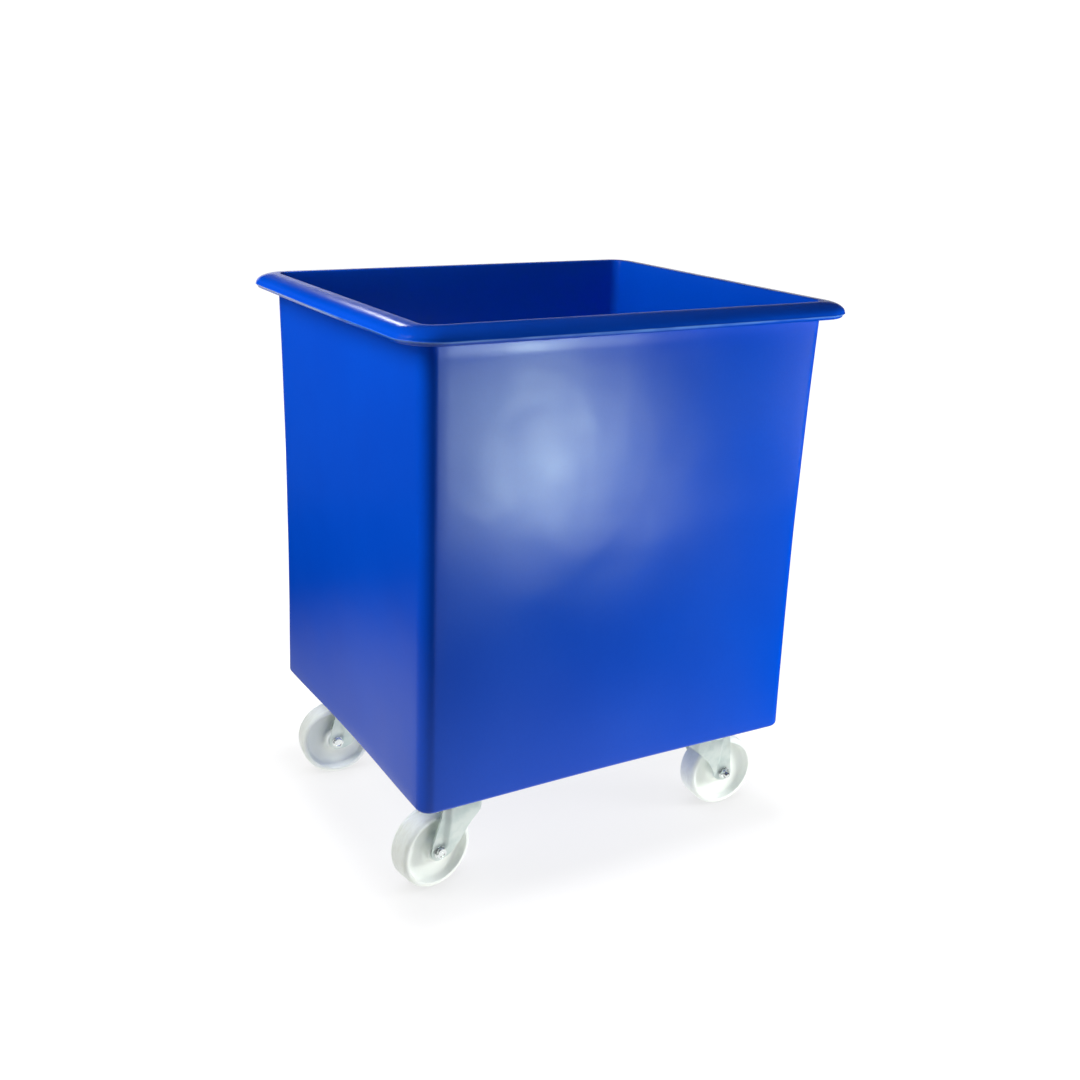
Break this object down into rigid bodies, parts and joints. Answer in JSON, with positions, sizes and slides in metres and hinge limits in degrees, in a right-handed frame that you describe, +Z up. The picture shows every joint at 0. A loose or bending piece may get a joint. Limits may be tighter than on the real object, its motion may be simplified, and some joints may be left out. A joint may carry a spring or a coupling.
{
  "type": "wheeled waste tote",
  "caption": "Deep open rectangular plastic tub with a rolled rim, standing on swivel castors with white nylon wheels, for collecting and moving waste.",
  "frame": {"origin": "on the floor under the middle of the tub, where the wheels stand", "axes": "+Z up; +X along the tub's long side; +Y along its short side. The side at -Y is called the front in the node names"},
  "size_m": [0.5926, 0.5032, 0.6991],
  "materials": {
    "tub": "rotomoulded polyethylene, royal blue, soft gloss",
    "nylon": "natural white nylon, turned and polished",
    "zinc": "pressed steel, bright zinc plate",
    "fastener_steel": "bright zinc-plated bolts, nuts, balls and sleeves",
    "bearing_cage": "moulded roller cage"
  },
  "bodies": {
    "tub": {"tub": "tub", "front_left_top_plate": "zinc", "front_left_kingpin": "zinc", "front_left_lower_cup": "zinc", "front_left_plate_bolt_1": "fastener_steel", "front_left_plate_bolt_2": "fastener_steel", "front_left_plate_bolt_3": "fastener_steel", "front_left_plate_bolt_4": "fastener_steel", "front_right_top_plate": "zinc", "front_right_kingpin": "zinc", "front_right_lower_cup": "zinc", "front_right_plate_bolt_1": "fastener_steel", "front_right_plate_bolt_2": "fastener_steel", "front_right_plate_bolt_3": "fastener_steel", "front_right_plate_bolt_4": "fastener_steel", "rear_left_top_plate": "zinc", "rear_left_kingpin": "zinc", "rear_left_lower_cup": "zinc", "rear_left_plate_bolt_1": "fastener_steel", "rear_left_plate_bolt_2": "fastener_steel", "rear_left_plate_bolt_3": "fastener_steel", "rear_left_plate_bolt_4": "fastener_steel", "rear_right_top_plate": "zinc", "rear_right_kingpin": "zinc", "rear_right_lower_cup": "zinc", "rear_right_plate_bolt_1": "fastener_steel", "rear_right_plate_bolt_2": "fastener_steel", "rear_right_plate_bolt_3": "fastener_steel", "rear_right_plate_bolt_4": "fastener_steel"},
    "front_left_swivel": {"front_left_fork": "zinc", "front_left_ball_race": "fastener_steel", "front_left_axle_bolt": "fastener_steel", "front_left_axle_nut": "fastener_steel", "front_left_axle_sleeve": "fastener_steel"},
    "front_left_wheel": {"front_left_wheel": "nylon", "front_left_roller_bearing": "bearing_cage"},
    "front_right_swivel": {"front_right_fork": "zinc", "front_right_ball_race": "fastener_steel", "front_right_axle_bolt": "fastener_steel", "front_right_axle_nut": "fastener_steel", "front_right_axle_sleeve": "fastener_steel"},
    "front_right_wheel": {"front_right_wheel": "nylon", "front_right_roller_bearing": "bearing_cage"},
    "rear_left_swivel": {"rear_left_fork": "zinc", "rear_left_ball_race": "fastener_steel", "rear_left_axle_bolt": "fastener_steel", "rear_left_axle_nut": "fastener_steel", "rear_left_axle_sleeve": "fastener_steel"},
    "rear_left_wheel": {"rear_left_wheel": "nylon", "rear_left_roller_bearing": "bearing_cage"},
    "rear_right_swivel": {"rear_right_fork": "zinc", "rear_right_ball_race": "fastener_steel", "rear_right_axle_bolt": "fastener_steel", "rear_right_axle_nut": "fastener_steel", "rear_right_axle_sleeve": "fastener_steel"},
    "rear_right_wheel": {"rear_right_wheel": "nylon", "rear_right_roller_bearing": "bearing_cage"}
  },
  "joints": [
    {"name": "front_left_swivel_turn", "type": "hinge", "parent": "tub", "child": "front_left_swivel", "pos_m": [-0.185, -0.1524, 0.12], "axis": [0, 0, 1], "continuous": true},
    {"name": "front_left_wheel_spin", "type": "hinge", "parent": "front_left_swivel", "child": "front_left_wheel", "pos_m": [-0.22129, -0.15847, 0.05], "axis": [0.165, -0.9863, 0], "continuous": true},
    {"name": "front_right_swivel_turn", "type": "hinge", "parent": "tub", "child": "front_right_swivel", "pos_m": [0.185, -0.1524, 0.12], "axis": [0, 0, 1], "continuous": true},
    {"name": "front_right_wheel_spin", "type": "hinge", "parent": "front_right_swivel", "child": "front_right_wheel", "pos_m": [0.22171, -0.15497, 0.05], "axis": [0.0698, 0.9976, 0], "continuous": true},
    {"name": "rear_left_swivel_turn", "type": "hinge", "parent": "tub", "child": "rear_left_swivel", "pos_m": [-0.185, 0.1524, 0.12], "axis": [0, 0, 1], "continuous": true},
    {"name": "rear_left_wheel_spin", "type": "hinge", "parent": "rear_left_swivel", "child": "rear_left_wheel", "pos_m": [-0.22144, 0.15752, 0.05], "axis": [-0.1392, -0.9903, 0], "continuous": true},
    {"name": "rear_right_swivel_turn", "type": "hinge", "parent": "tub", "child": "rear_right_swivel", "pos_m": [0.185, 0.1524, 0.12], "axis": [0, 0, 1], "continuous": true},
    {"name": "rear_right_wheel_spin", "type": "hinge", "parent": "rear_right_swivel", "child": "rear_right_wheel", "pos_m": [0.22112, 0.14538, 0.05], "axis": [0.1908, 0.9816, 0], "continuous": true}
  ]
}
